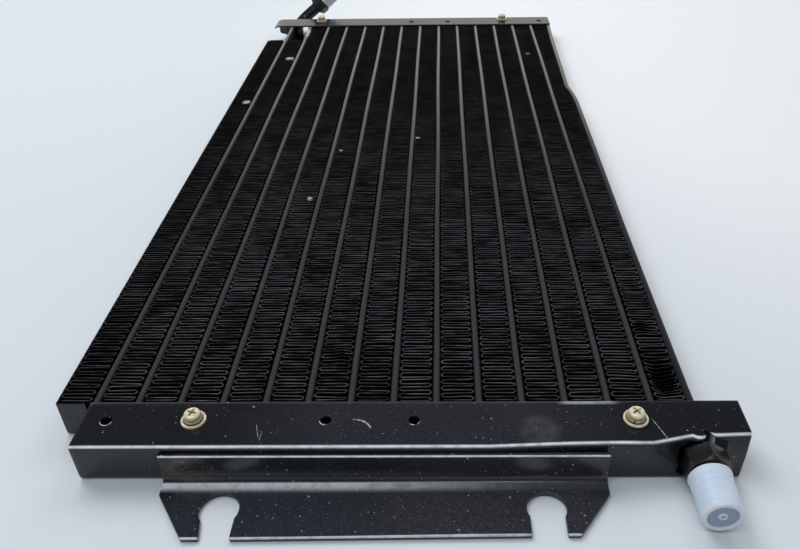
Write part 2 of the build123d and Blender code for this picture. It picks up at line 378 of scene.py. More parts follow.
def tube_paint():
    """Thin black paint on the flat tube, with dust, and a highlight painted along its crown."""
    paint = Finish("tube_paint", IOR=1.5, Specular_IOR_Level=0.28)
    cloud = paint.noise(90.0, 4.0)
    # Painted highlight along the crown, paler towards the far end as a painted reflection, dimmer
    # on the last run's front part
    crown = paint.z.ramp(tube_high.z - 0.85 * MM, tube_high.z - 0.05 * MM)
    far = paint.y.ramp(-0.15, 0.34)
    last_run = paint.x.ramp(0.146, 0.158) * (1 - paint.y.ramp(-0.2, 0.1))
    painted_sheen = paint.mix(last_run, paint.mix(far, TUBE_NEAR_SHEEN, TUBE_FAR_SHEEN), TUBE_LAST_SHEEN)
    color = paint.mix(crown * (0.55 + 0.45 * cloud), TUBE_BLACK, painted_sheen)
    # A copper-coloured patch near the tube's far left end
    copper_patch = near_point(paint, -0.1405, 0.309, 0.016) * paint.noise(200.0).ramp(0.25, 0.4)
    color = paint.mix(copper_patch, color, TUBE_COPPER_TONE)
    dust = paint.specks(420.0, 0.14, 0.12)
    color = paint.mix(dust * 0.4, color, TUBE_DUST)
    rough = 0.42 + 0.2 * cloud
    return paint.set(Base_Color=color, Roughness=rough, Normal=paint.bump(cloud, 0.0003, 0.5))


# Chips in the fins' paint: x, y and radius, in metres
CHIPS = (
    (-0.1679, 0.0895, 0.0042), (-0.1453, 0.2165, 0.0050), (-0.0767, -0.1072, 0.0024),
    (-0.0616, -0.0221, 0.0018), (0.0050, 0.0034, 0.0020), (0.1248, 0.2264, 0.0026),
    (-0.0464, -0.0455, 0.0016),
)


def fin_paint():
    """Matt black paint on the fins, with a highlight painted along their upper edges, and a few
    chips.
    """
    paint = Finish("fin_paint", IOR=1.4, Specular_IOR_Level=0.2)
    edge = paint.z.ramp(tube_high.z - 1.0 * MM, tube_high.z - 0.1 * MM)
    patch = paint.noise(38.0, 3.0).ramp(0.35, 0.68)
    glint = paint.noise(1.0, 2.0, 0.5, paint.stretched(60.0, 380.0, 0.0)).ramp(0.42, 0.66)
    near = 1 - paint.y.ramp(-0.34, 0.16)
    left = paint.x.ramp(-0.185, -0.130)
    # Painted highlight: the upper edges lighten in patches and glints, most near the front and the
    # left
    edge_highlight = edge * (0.14 + 0.45 * patch + 0.60 * glint)
    edge_highlight = edge_highlight * (0.10 + 0.90 * near) * (0.55 + 0.45 * left)
    color = paint.mix(edge_highlight, FIN_BLACK, FIN_EDGE_HIGHLIGHT)
    for x, y, radius in CHIPS:
        chip = near_point(paint, x, y, radius * 1.2) * paint.noise(800.0).ramp(0.40, 0.46)
        color = paint.mix(chip, color, FIN_BARE)
    rough = 0.55 - 0.12 * patch
    return paint.set(Base_Color=color, Roughness=rough)


def zinc_plating():
    """Yellow passivated zinc on the screws and washers, with painted shade in recesses and where
    the pieces meet.
    """
    metal = Finish("yellow_zinc", Metallic=0.45)
    cloud = metal.noise(350.0, 4.0)
    color = metal.mix(cloud.ramp(0.35, 0.7), ZINC_DULL, ZINC_BRIGHT)
    color = metal.mix(metal.shade("crevice"), color, ZINC_PAINTED_SHADE)
    rough = 0.24 + 0.2 * metal.noise(900.0)
    return metal.set(Base_Color=color, Roughness=rough, Normal=metal.bump(cloud, 0.0001, 0.4))


def plain_zinc():
    """Plain zinc on the spacer sleeves inside the channels."""
    metal = Finish("plain_zinc", Metallic=1.0)
    cloud = metal.noise(300.0, 3.0)
    color = metal.mix(cloud, (0.42, 0.43, 0.45), (0.62, 0.63, 0.64))
    return metal.set(Base_Color=color, Roughness=0.3 + 0.2 * cloud)


def seal_rubber():
    """Dark green rubber of the seal rings."""
    rubber = Finish("seal_rubber")
    cloud = rubber.noise(500.0)
    color = rubber.mix(cloud, (0.010, 0.022, 0.014), (0.022, 0.045, 0.030))
    return rubber.set(Base_Color=color, Roughness=0.45 + 0.2 * cloud)


def cap_plastic():
    """Soft milky plastic, clear enough to show a shade of the union inside, with painted shade in
    its sunk end and painted highlights on its rims and nub.
    """
    plastic = Finish("milky_plastic", Transmission_Weight=0.3, IOR=1.4)
    cloud = plastic.noise(60.0, 3.0)
    along = plastic.shade("along") * 620.0
    rings = plastic.node("ShaderNodeTexNoise", {"noise_dimensions": "1D"}, along, 1.0, 2.0, 0.5)
    tone = rings.ramp(0.30, 0.70) * 0.55 + cloud.ramp(0.35, 0.65) * 0.45
    color = plastic.mix(tone, CAP_MILKY, CAP_CLEAR)
    # Painted shade in the sunk end, painted highlight on the rims and the nub
    color = plastic.mix(plastic.shade("sunk"), color, CAP_SUNK_SHADE)
    color = plastic.mix(plastic.shade("rim") * 0.8, color, CAP_RIM_HIGHLIGHT)
    rough = 0.24 + 0.12 * cloud
    return plastic.set(Base_Color=color, Roughness=rough, Normal=plastic.bump(cloud, 0.0006, 0.5))


def deselect_all():
    """Let go of every object."""
    bpy.ops.object.select_all(action="DESELECT")


def pick(piece):
    """Select one piece alone and make it the active one."""
    deselect_all()
    piece.select_set(True)
    bpy.context.view_layer.objects.active = piece


def paint_with(piece, material):
    """Give a piece one material."""
    piece.data.materials.clear()
    piece.data.materials.append(material)
    return piece


def put_in_frame(piece, name, slot, material, *replaced):
    """Name a finished piece, place it in its mesh, give it its finish and let it ride."""
    pick(piece)
    bpy.ops.object.transform_apply(location=True, rotation=True, scale=True)
    piece.name = name
    piece.data.name = name
    paint_with(piece, material)
    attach(piece, BODY)
    if replaced:
        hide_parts(*replaced)
    return piece


def apply_modifier(piece, kind, **settings):
    """Add a modifier to a piece and make it part of the mesh."""
    modifier = piece.modifiers.new(kind.title(), kind)
    for key, value in settings.items():
        setattr(modifier, key, value)
    bpy.context.view_layer.objects.active = piece
    bpy.ops.object.modifier_apply(modifier=modifier.name)


def smooth_by_angle(piece, degrees):
    """Shade a piece smooth except where its faces turn by more than an angle."""
    pick(piece)
    bpy.ops.object.shade_smooth_by_angle(angle=math.radians(degrees))


def mend_normals(piece):
    """Join corners that lie in one place and turn every face outwards."""
    pick(piece)
    bpy.ops.object.mode_set(mode="EDIT")
    bpy.ops.mesh.select_all(action="SELECT")
    bpy.ops.mesh.remove_doubles(threshold=JOIN_GAP)
    bpy.ops.mesh.normals_make_consistent(inside=False)
    bpy.ops.object.mode_set(mode="OBJECT")


def corners(piece):
    """The piece's vertices as an array."""
    flat = np.empty(len(piece.data.vertices) * 3)
    piece.data.vertices.foreach_get("co", flat)
    return flat.reshape(-1, 3)


def move_corners(piece, places):
    """Put the piece's vertices in new places."""
    piece.data.vertices.foreach_set("co", np.asarray(places, float).ravel())
    piece.data.update()


def paint_corners(piece, name, values):
    """Store one value for each corner, for a finish to read."""
    layer = piece.data.attributes.get(name) or piece.data.attributes.new(name, "FLOAT", "POINT")
    layer.data.foreach_set("value", np.asarray(values, np.float32))


def new_grid(columns, rows):
    """A flat grid, and the column and row of each of its vertices."""
    deselect_all()
    bpy.ops.mesh.primitive_grid_add(x_subdivisions=columns, y_subdivisions=rows, size=2.0)
    piece = bpy.context.active_object
    places = corners(piece)
    column = np.rint((places[:, 0] + 1) / 2 * columns).astype(int)
    row = np.rint((places[:, 1] + 1) / 2 * rows).astype(int)
    return piece, column, row


def softened_copy(node, width, segments=2, angle=30.0):
    """A solid's mesh, joined up, with its sharp edges rounded."""
    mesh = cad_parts[node].data.copy()
    piece = bpy.data.objects.new("work", mesh)
    bpy.context.scene.collection.objects.link(piece)
    pick(piece)
    if mesh.has_custom_normals:
        bpy.ops.mesh.customdata_custom_splitnormals_clear()
    bpy.ops.object.mode_set(mode="EDIT")
    bpy.ops.mesh.select_all(action="SELECT")
    bpy.ops.mesh.remove_doubles(threshold=JOIN_GAP)
    bpy.ops.mesh.dissolve_limited(angle_limit=math.radians(0.5))
    bpy.ops.object.mode_set(mode="OBJECT")
    apply_modifier(
        piece, "BEVEL", width=width, segments=segments, limit_method="ANGLE",
        angle_limit=math.radians(angle), use_clamp_overlap=True,
    )
    smooth_by_angle(piece, 35.0)
    return piece


def tube_section():
    """The tube's flat section, as a ring of points at the start of the first run."""
    points = 14
    radius = TUBE_HALF / math.cos(math.pi / points)
    deselect_all()
    bpy.ops.mesh.primitive_circle_add(
        vertices=points, radius=radius, location=(run_x(0), -tube_end(), MID_HEIGHT),
        rotation=(math.pi / 2, 0, 0),
    )
    piece = bpy.context.active_object
    bpy.ops.object.transform_apply(location=True, rotation=True, scale=True)
    places = corners(piece)
    places[:, 2] += np.sign(places[:, 2] - MID_HEIGHT) * (TUBE_WIDTH / 2 - radius)
    move_corners(piece, places)
    return piece


def tube_end():
    """Where the last run meets the outlet block."""
    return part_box("outlet_block")[1].y


def make_tube():
    """The flat tube: its section is extruded along each run and spun round each hairpin."""
    piece = tube_section()
    steps_per_run = 12
    steps_per_bend = 10
    steps_of_bowed_run = 60
    bpy.ops.object.mode_set(mode="EDIT")
    bpy.ops.mesh.select_mode(type="VERT")
    bpy.ops.mesh.select_all(action="SELECT")
    y = -tube_end()
    for number in range(RUNS):
        forwards = number % 2 == 0
        goal = HOLE_Y if forwards else -HOLE_Y
        steps = steps_per_run
        if number == RUNS - 1:
            goal = tube_end()
            steps = steps_of_bowed_run
        for _ in range(steps):
            step = (0, (goal - y) / steps, 0)
            bpy.ops.mesh.extrude_region_move(TRANSFORM_OT_translate={"value": step})
        y = goal
        if number < RUNS - 1:
            bpy.ops.mesh.spin(
                steps=steps_per_bend, angle=math.pi if forwards else -math.pi,
                center=(run_x(number) + BEND_R, goal, MID_HEIGHT), axis=(0, 0, 1),
            )
    bpy.ops.mesh.select_all(action="SELECT")
    bpy.ops.mesh.fill_holes(sides=20)
    bpy.ops.object.mode_set(mode="OBJECT")
    mend_normals(piece)
    places = corners(piece)
    last = smooth_step(places[:, 0], run_x(RUNS - 1) - 8 * MM, run_x(RUNS - 1) - 3 * MM)
    places[:, 0] -= last * last_run_push(places[:, 1])
    wave = np.sin(places[:, 1] * 21 + places[:, 0] * 70) * 0.25 * MM
    between_channels = np.abs(places[:, 1]) < abs(FRONT_EDGE) - 20 * MM
    middle_runs = (last < 0.5) & (places[:, 0] > run_x(0) + 8 * MM)
    places[:, 0] += np.where(between_channels & middle_runs, wave, 0)
    move_corners(piece, places)
    smooth_by_angle(piece, 40.0)
    return put_in_frame(piece, "flat_tube", "tube", TUBE_PAINT, "serpentine_tube")


FIN_STEP = 2.66 * MM
FIN_SHEET = 0.30 * MM
# Levels up a fin as shares of its height, and points along a leg as shares of its half length
FIN_ROWS = (0.0, 0.42, 0.86, 1.0)
LEG_SHARES = (-1.0, -0.36, 0.36, 1.0)
# Points round a bend: how far out, and where between its two legs
BEND_POINTS = ((1.5, -0.5), (2.0, 0.0), (1.5, 0.5))
# How uneven the legs are, as shares of their step
LEG_SQUEEZE = 0.04
LEG_SHIFT = 0.06
LEG_SLANT = 0.10
# How far the upper edges stray: each leg, each point, and slowly along the strip
EDGE_LEAN = 0.17 * MM
EDGE_RIPPLE = 0.05 * MM
EDGE_WANDER = 0.28 * MM
WANDER_PLACES = 24
# Patches of bent fins: x, y, radius and how far the upper edges lean, in metres
BENT_FINS = (
    (-0.0345, -0.292, 0.008, 0.0022),
    (0.150, -0.312, 0.013, -0.0040),
    (0.146, -0.268, 0.009, 0.0026),
    (0.152, -0.225, 0.007, -0.0018),
    (-0.126, -0.150, 0.008, 0.0018),
    (0.058, 0.020, 0.007, 0.0016),
    (-0.060, 0.120, 0.008, -0.0018),
    (0.104, 0.170, 0.010, 0.0020),
    (0.035, -0.205, 0.006, 0.0016),
)


def fin_centre_line(length, height, rng):
    """A ribbon's folded line seen from above, in metres, with the leg that each point is on."""
    legs = round(length / FIN_STEP)
    step = length / legs
    turn = step / 2
    straight = height / 2 - turn
    line, leg_of = [], []
    for leg in range(legs):
        side = 1 if leg % 2 == 0 else -1
        squeeze = LEG_SQUEEZE * step * side
        y = (leg + 0.5) * step + squeeze + rng.uniform(-LEG_SHIFT, LEG_SHIFT) * step
        slant = rng.uniform(-LEG_SLANT, LEG_SLANT) * step
        for share in LEG_SHARES:
            line.append((side * share * straight, y + slant * share))
            leg_of.append(leg)
        if leg < legs - 1:
            for reach, share in BEND_POINTS:
                bulge = (reach - 1.0) * turn * 0.98
                line.append((side * (straight + bulge), y + step / 2 + share * step * 0.55))
                leg_of.append(leg)
    return np.array(line), np.array(leg_of), legs


def make_fin_strip(number):
    """One corrugated strip: a flat ribbon folded to and fro, then given its thickness."""
    node = f"fin_strip_{number:02d}"
    low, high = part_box(node)
    rng = Random(100 + number)
    length, height = high.y - low.y - FIN_SHEET, high.x - low.x - FIN_SHEET
    line, leg_of, legs = fin_centre_line(length, height, rng)
    piece, column, row = new_grid(len(line) - 1, len(FIN_ROWS) - 1)
    level = np.array(FIN_ROWS)[row]
    x = (low.x + high.x) / 2 + line[column, 0]
    y = low.y + FIN_SHEET / 2 + line[column, 1]
    z = low.z + level * (high.z - low.z)
    draws = np.random.default_rng(200 + number)
    lean = draws.normal(0, EDGE_LEAN, legs)[leg_of][column]
    ripple = draws.normal(0, EDGE_RIPPLE, len(line))[column]
    wander_at = np.linspace(0, legs, WANDER_PLACES)
    wander = np.interp(np.arange(legs), wander_at, draws.normal(0, EDGE_WANDER, WANDER_PLACES))
    y = y + smooth_step(level, 0.3, 1.0) * (lean + ripple + wander[leg_of][column])
    inside = 1 - np.abs(x - (low.x + high.x) / 2) / ((high.x - low.x) / 2)
    for px, py, radius, push in BENT_FINS:
        near = np.exp(-(((x - px) ** 2 + (y - py) ** 2) / radius**2)) * smooth_step(level, 0.2, 0.9)
        y = y + near * push * np.clip(inside * 3, 0, 1) * (1 + 0.5 * np.sin(x * 900))
        z = z - near * np.abs(push) * 0.35 * np.clip(inside * 3, 0, 1)
    if number == STRIPS - 1:
        share = (x - low.x) / (high.x - low.x)
        x = x - np.clip(share, 0, 1) * last_run_push(y)
    y = np.clip(y, low.y + FIN_SHEET / 2, high.y - FIN_SHEET / 2)
    move_corners(piece, np.stack([x, y, z], 1))
    apply_modifier(piece, "SOLIDIFY", thickness=FIN_SHEET, offset=0.0)
    smooth_by_angle(piece, 50.0)
    mend_normals(piece)
    return put_in_frame(piece, f"fine_{node}", "fins", FIN_PAINT, node)


def channel_profile():
    """Points round the channel's sheet, at its middle, from the lower lip to the upper one."""
    half = CHANNEL_SHEET / 2
    radius = CHANNEL_FOLD - half
    lip, web = FRONT_EDGE, channel_low.y + half
    low, high = half, CHANNEL_HEIGHT - half
    flange_rows, web_rows, fold_rows = 9, 8, 10
    fold_y, fold_low, fold_high = web + radius, low + radius, high - radius
    flange = lip - web - radius
    web_height = high - low - 2 * radius
    turns = [math.pi / 2 * k / fold_rows for k in range(fold_rows)]
    points = [(lip + (fold_y - lip) * k / flange_rows, low) for k in range(flange_rows)]
    points += [(fold_y - radius * math.sin(a), fold_low - radius * math.cos(a)) for a in turns]
    points += [(web, fold_low + web_height * k / web_rows) for k in range(web_rows)]
    points += [(fold_y - radius * math.cos(a), fold_high + radius * math.sin(a)) for a in turns]
    points += [(fold_y + flange * k / flange_rows, high) for k in range(flange_rows + 1)]
    return np.array(points)


# Where the front channel's upper fold is set back, along X, and how far
KNOCK_PLACES = (50, 89, 103, 118, 133, 138, 148.5, 153.4, 156, 159.5, 162.5, 165.5, 177, 184)
KNOCK_PUSH = (0, 1.9, 2.2, 2.7, 2.9, 4.2, 6.7, 7.8, 6.2, 6.4, 8.7, 7.8, 8.2, 8.4)


def pushed_in_end(places):
    """The knock on the front channel's right end, where its upper fold is set back."""
    x, y, z = places.T
    foot = smooth_step(x, 0.160, 0.184) * np.clip((channel_low.y + 12 * MM - y) / (12 * MM), 0, 1)
    x = x - 5.0 * MM * foot * (1 - np.clip(z / CHANNEL_HEIGHT, 0, 1))
    height = np.clip(z / CHANNEL_HEIGHT, 0, 1) ** 1.3
    from_web = np.clip(1 - (y - channel_low.y) / CHANNEL_DEPTH, 0, 1)
    y = y + np.interp(x / MM, KNOCK_PLACES, KNOCK_PUSH) * MM * height * from_web**0.8
    sag = smooth_step(x, 0.10, 0.13) * np.exp(-(((x - 0.140) / 0.03) ** 2))
    z = z - 0.8 * MM * sag * from_web * height
    lift = np.exp(-(((x - 0.070) / 0.07) ** 2)) * (z > CHANNEL_HEIGHT / 2) * (1 - from_web)
    return np.stack([x, y, z - 0.35 * MM * lift], 1)


def rounded_end(places):
    """The rear channel's far corner is knocked round and its lower part pushed in."""
    x, y, z = places.T
    past = np.clip((x - 0.176) / (7.5 * MM), 0, 1)
    low = 1 - smooth_step(z, 3 * MM, 8 * MM)
    x = x - 12 * MM * low * smooth_step(x, 0.150, 0.1835)
    return np.stack([x, y, z - 1.6 * MM * past**2 * np.clip(z / CHANNEL_HEIGHT, 0, 1)], 1)


def cut(piece, shape):
    """Take one closed shape out of another and delete it."""
    apply_modifier(piece, "BOOLEAN", operation="DIFFERENCE", solver="EXACT", object=shape)
    bpy.data.objects.remove(shape)


def drill(piece, x, y, radius, z_low, z_high):
    """Cut a round hole through a piece, between two heights."""
    deselect_all()
    bpy.ops.mesh.primitive_cylinder_add(
        vertices=40, radius=radius, depth=z_high - z_low, location=(x, y, (z_low + z_high) / 2)
    )
    cut(piece, bpy.context.active_object)


def cutout_tool(x):
    """The rough hole round the fitting: a six-sided bar with a lowered top and uneven sides."""
    deselect_all()
    bpy.ops.mesh.primitive_cylinder_add(
        vertices=6, radius=CUTOUT_R, depth=14 * MM,
        location=(x, channel_low.y + 2 * MM, MID_HEIGHT),
        rotation=(math.pi / 2, 0, math.radians(30)),
    )
    tool = bpy.context.active_object
    bpy.ops.object.transform_apply(location=True, rotation=True, scale=True)
    bpy.ops.object.mode_set(mode="EDIT")
    bpy.ops.mesh.select_all(action="SELECT")
    bpy.ops.mesh.subdivide(number_cuts=4)
    bpy.ops.object.mode_set(mode="OBJECT")
    places = corners(tool)
    angle = np.arctan2(places[:, 2] - MID_HEIGHT, places[:, 0] - x)
    uneven = 0.35 * MM * (np.sin(angle * 9) + np.sin(angle * 17 + 1))
    places[:, 0] += uneven * np.cos(angle)
    above = np.where(places[:, 2] > MID_HEIGHT, CUTOUT_TOP_SHARE, 1.0)
    places[:, 2] = MID_HEIGHT + (places[:, 2] + uneven * np.sin(angle) - MID_HEIGHT) * above
    move_corners(tool, places)
    return tool


def make_channel(name, node, turned, damage, material):
    """A channel folded up from one flat sheet, then drilled, cut out and, at the front, knocked."""
    profile = channel_profile()
    columns = 150
    piece, column, row = new_grid(columns, len(profile) - 1)
    x = channel_low.x + (channel_high.x - channel_low.x) * column / columns
    move_corners(piece, np.column_stack([x, profile[row]]))
    mend_normals(piece)
    apply_modifier(piece, "SOLIDIFY", thickness=CHANNEL_SHEET, offset=0.0)
    mend_normals(piece)
    above_top = CHANNEL_HEIGHT + DRILL_PAST
    for gap in SPARE_HOLE_GAPS:
        drill(piece, run_x(gap) + BEND_R, HOLE_Y, SPARE_HOLE_R, -DRILL_PAST, above_top)
    for gap in SCREW_GAPS:
        drill(piece, run_x(gap) + BEND_R, HOLE_Y, SCREW_HOLE_R, CHANNEL_HEIGHT / 2, above_top)
    cut(piece, cutout_tool(run_x(RUNS - 1)))
    places = corners(piece)
    # Painted highlight: the outside of the upper fold, where its slope faces the lights, is marked
    # for lightening
    ahead = channel_low.y + CHANNEL_FOLD - places[:, 1]
    above = places[:, 2] - (CHANNEL_HEIGHT - CHANNEL_FOLD)
    turn = np.degrees(np.arctan2(above, ahead))
    outside = abs(np.hypot(above, ahead) - CHANNEL_FOLD) < 0.3 * MM
    glint_band = smooth_step(turn, 22, 45) * (1 - smooth_step(turn, 50, 73))
    paint_corners(piece, "fold", outside * glint_band)
    move_corners(piece, damage(places))
    apply_modifier(
        piece, "BEVEL", width=0.22 * MM, segments=2, limit_method="ANGLE",
        angle_limit=math.radians(50.0), use_clamp_overlap=False,
    )
    if turned:
        piece.rotation_euler = (0, 0, math.pi)
    smooth_by_angle(piece, 35.0)
    return put_in_frame(piece, name, "channels", material, node)


def turned_solid(rings, around):
    """A sheet of rings, in millimetres of radius and height, drawn round an axis and closed."""
    piece, column, row = new_grid(around, len(rings) - 1)
    radius, along = (np.array(rings) * MM)[row].T
    angle = 2 * math.pi * column / around
    move_corners(piece, np.stack([radius * np.cos(angle), radius * np.sin(angle), along], 1))
    mend_normals(piece)
    return piece


# Rings of radius and height, in millimetres, from the shank's end or the bore outwards
HEAD_RINGS = (
    (2.5, 0), (3.9, 0), (4.2, 0.2), (4.3, 0.5), (4.3, 1.7), (4.3, 1.9), (4.2, 2.4), (3.95, 2.9),
    (3.6, 3.2), (3.1, 3.4), (2.5, 3.52), (1.5, 3.6), (0, 3.6),
)
SPRING_RINGS = (
    (2.8, 0.1), (2.9, 0), (4.7, 0), (4.85, 0.2), (4.85, 1.1), (4.7, 1.4), (2.9, 1.4), (2.8, 1.3),
)
FLAT_RINGS = (
    (2.8, 0.1), (2.9, 0), (6.3, 0), (6.5, 0.2), (6.5, 1.1), (6.3, 1.3), (5.7, 1.3), (5.0, 1.3),
    (2.9, 1.3), (2.8, 1.2),
)
SHANK_R = 2.5
HEAD_HEIGHT = HEAD_RINGS[-1][1] * MM
RECESS_ARM = (5.4 * MM, 1.3 * MM, 3.2 * MM)
SPRING_SLIT = (4 * MM, 0.7 * MM, 4 * MM)
ROUND_STEPS = 48


def cutting_bar(size, place, turn):
    """A block to cut with: size, place and turn about Z."""
    deselect_all()
    bpy.ops.mesh.primitive_cube_add(size=1.0, location=place, rotation=(0, 0, turn))
    bar = bpy.context.active_object
    bar.scale = size
    bpy.ops.object.transform_apply(location=True, rotation=True, scale=True)
    return bar


def reach_and_height(piece):
    """How far each vertex is from the piece's axis, and how high up it."""
    places = corners(piece)
    return np.hypot(places[:, 0], places[:, 1]), places[:, 2]


def pan_head_screw(shank, turn):
    """A screw round its own axis: a shank, a pan head and a cross recess."""
    screw = turned_solid(((0, shank), (SHANK_R, shank)) + HEAD_RINGS, ROUND_STEPS)
    for arm in range(2):
        cut(screw, cutting_bar(RECESS_ARM, (0, 0, HEAD_HEIGHT), turn + arm * math.pi / 2))
    apply_modifier(
        screw, "BEVEL", width=0.12 * MM, segments=2, limit_method="ANGLE",
        angle_limit=math.radians(50.0),
    )
    # Painted shade: in the cross recess and under the head, fainter on the head's lower side
    reach, height = reach_and_height(screw)
    recess = (reach < 2.7 * MM) & (height < 3.45 * MM)
    side = (height < 1.75 * MM) & (reach > 3.5 * MM)
    below = np.where(height < 0.3 * MM, 1.0, side * 0.55)
    paint_corners(screw, "crevice", np.maximum(recess, below))
    return screw


def spring_washer():
    """A split ring with painted shade, deep where it lies on the flat washer and lighter all over.
    """
    washer = turned_solid(SPRING_RINGS + SPRING_RINGS[:1], ROUND_STEPS)
    cut(washer, cutting_bar(SPRING_SLIT, (4 * MM, 0, 1 * MM), 0.25))
    _, height = reach_and_height(washer)
    paint_corners(washer, "crevice", np.where(height < 0.25 * MM, 0.9, 0.4))
    return washer


def flat_washer():
    """A plain ring with painted shade round the spring washer and along its foot."""
    washer = turned_solid(FLAT_RINGS + FLAT_RINGS[:1], ROUND_STEPS)
    reach, height = reach_and_height(washer)
    foot = (height < 0.15 * MM) * 0.6
    paint_corners(washer, "crevice", np.maximum((reach < 5.3 * MM) * 1.0, foot))
    return washer


def make_fasteners():
    """The four clamp screws, each on a spring washer and a flat washer."""
    for number in range(1, 5):
        low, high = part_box(f"clamp_screw_{number}")
        centre = Vector(((low.x + high.x) / 2, (low.y + high.y) / 2, 0))
        head_z = high.z - HEAD_HEIGHT
        turn = 0.35 + 0.9 * number
        spring_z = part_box(f"spring_washer_{number}")[0].z
        flat_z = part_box(f"flat_washer_{number}")[0].z
        for kind, piece, z, spin in (
            ("clamp_screw", pan_head_screw((low.z - head_z) / MM, turn), head_z, 0.0),
            ("spring_washer", spring_washer(), spring_z, turn * 2),
            ("flat_washer", flat_washer(), flat_z, turn),
        ):
            place = Matrix.Translation(centre + Vector((0, 0, z)))
            piece.matrix_world = place @ Matrix.Rotation(spin, 4, "Z")
            smooth_by_angle(piece, 40.0)
            name = f"{kind}_{number}"
            put_in_frame(piece, f"plated_{name}", "zinc_fasteners", YELLOW_ZINC, name)


PIPE_LEG = Vector((25.0, 0.0, 20.0))
OUTLET_LEAN = -0.0225
OUTLET_SHIFT = -1.3 * MM


def union_place(side):
    """Where a union's axis starts and which way it points."""
    if side == "outlet":
        low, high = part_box("outlet_union")
        return Vector(((low.x + high.x) / 2, high.y, (low.z + high.z) / 2)), Vector((0, -1, 0))
    _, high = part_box("inlet_pipe")
    start = Vector((run_x(0), high.y - 7 * MM, MID_HEIGHT)) + PIPE_LEG * MM
    return start, PIPE_LEG.normalized()


CAP_START = 13.0 * MM
# The cap's rings of radius and height, in millimetres: its outside, its sunk end, its inside
CAP_RINGS = (
    (9.15, 0.0), (10.7, 0.0), (11.05, 0.35), (11.05, 0.9), (10.7, 1.35), (10.85, 1.9), (10.75, 2.8),
    (10.5, 10.0), (10.25, 18.0), (10.2, 22.6), (10.0, 23.5), (9.5, 24.1), (8.6, 24.25), (7.7, 24.1),
    (7.35, 23.5), (7.2, 23.0), (2.3, 22.95), (2.1, 23.5), (1.85, 23.95), (1.3, 23.95), (1.05, 23.4),
    (0.3, 23.2), (0.3, 21.15), (7.0, 21.15), (8.9, 20.9), (9.15, 19.8), (9.15, 10.0),
)


def lean_outlet(piece):
    """The outlet's fitting sits a little inwards, as the last run does."""
    pivot = Vector((run_x(RUNS - 1), HOLE_Y, 0))
    turn = Matrix.Rotation(OUTLET_LEAN, 4, "Z")
    lean = Matrix.Translation(pivot) @ turn @ Matrix.Translation(-pivot)
    piece.matrix_world = Matrix.Translation((OUTLET_SHIFT, 0, 0)) @ lean @ piece.matrix_world
    return piece


def make_cap(side):
    """The soft cap: a sheet of rings drawn into a tapering cup with a sunk end and a nub."""
    start, axis = union_place(side)
    around = 64
    piece, column, row = new_grid(around, len(CAP_RINGS))
    rings = np.array(CAP_RINGS + CAP_RINGS[:1]) * MM
    radius, along = rings[row].T
    angle = 2 * math.pi * column / around
    outer = smooth_step(radius, 9.4 * MM, 10.1 * MM) * smooth_step(along, 3 * MM, 9 * MM)
    radius = radius * (1 - 0.012 * outer * (1 - np.cos(6 * angle)) / 2)
    move_corners(piece, np.stack([radius * np.cos(angle), radius * np.sin(angle), along], 1))
    mend_normals(piece)
    bpy.ops.object.mode_set(mode="EDIT")
    bpy.ops.mesh.select_all(action="SELECT")
    bpy.ops.mesh.fill_holes(sides=around)
    bpy.ops.object.mode_set(mode="OBJECT")
    mend_normals(piece)
    reach, along = reach_and_height(piece)
    nub = (reach > 1.2 * MM) & (reach < 2.2 * MM)
    end_rim = (reach > 7.6 * MM) & (along > 23.4 * MM)
    paint_corners(piece, "along", along)
    # Marks where shade is painted (the sunk end) and where highlights are painted (the rims and the
    # nub)
    paint_corners(piece, "sunk", (reach < 7.4 * MM) & ~nub & (along > 22 * MM))
    paint_corners(piece, "rim", end_rim | (reach > 10.95 * MM) | nub)
    smooth_by_angle(piece, 40.0)
    turn = axis.to_track_quat("Z", "Y").to_matrix().to_4x4()
    piece.matrix_world = Matrix.Translation(start + axis * CAP_START) @ turn
    if side == "outlet":
        lean_outlet(piece)
    return put_in_frame(piece, f"{side}_cap_skin", "caps", MILKY_PLASTIC, f"{side}_transit_cap")


FRONT_SHEAR = 1.9 * MM


def shear_front(piece):
    """The bracket's front edge was sheared a little out of square."""
    places = corners(piece)
    low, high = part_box("mounting_bracket")
    share = smooth_step(places[:, 0], low.x + 30 * MM, low.x + 200 * MM)
    front = np.clip((high.y - 10 * MM - places[:, 1]) / (28 * MM), 0, 1)
    places[:, 1] += FRONT_SHEAR * share * front
    move_corners(piece, places)
    return piece


def make_simple_pieces():
    """Pieces whose solids have the right shape, with their edges rounded."""
    bracket = shear_front(softened_copy("mounting_bracket", 0.7 * MM, 3))
    put_in_frame(bracket, "bracket_body", "bracket", BRACKET_PAINT, "mounting_bracket")
    for kind, width, slot, material in (
        ("union", 0.35, "unions", UNION_PAINT),
        ("block", 0.4, "blocks", PART_PAINT),
        ("seal_ring", 0.15, "seal_rings", SEAL_RUBBER),
    ):
        for side in ("outlet", "inlet"):
            piece = softened_copy(f"{side}_{kind}", width * MM)
            if side == "outlet":
                lean_outlet(piece)
            put_in_frame(piece, f"{side}_{kind}_body", slot, material, f"{side}_{kind}")
    paint_with(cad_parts["left_side_plate"], PART_PAINT)
    paint_with(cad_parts["inlet_pipe"], PART_PAINT)
    for number in range(1, 5):
        paint_with(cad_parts[f"spacer_sleeve_{number}"], PLAIN_ZINC)


def camera_turn(pitch, yaw, roll):
    """The camera's axes from its downward pitch, its yaw and its roll, in radians."""
    level = math.cos(pitch)
    ahead = Vector((math.sin(yaw) * level, math.cos(yaw) * level, -math.sin(pitch)))
    right = Vector((math.cos(yaw), -math.sin(yaw), 0))
    down = ahead.cross(right)
    turned_right = right * math.cos(roll) + down * math.sin(roll)
    turned_down = down * math.cos(roll) - right * math.sin(roll)
    return Matrix((turned_right, -turned_down, -ahead)).transposed()


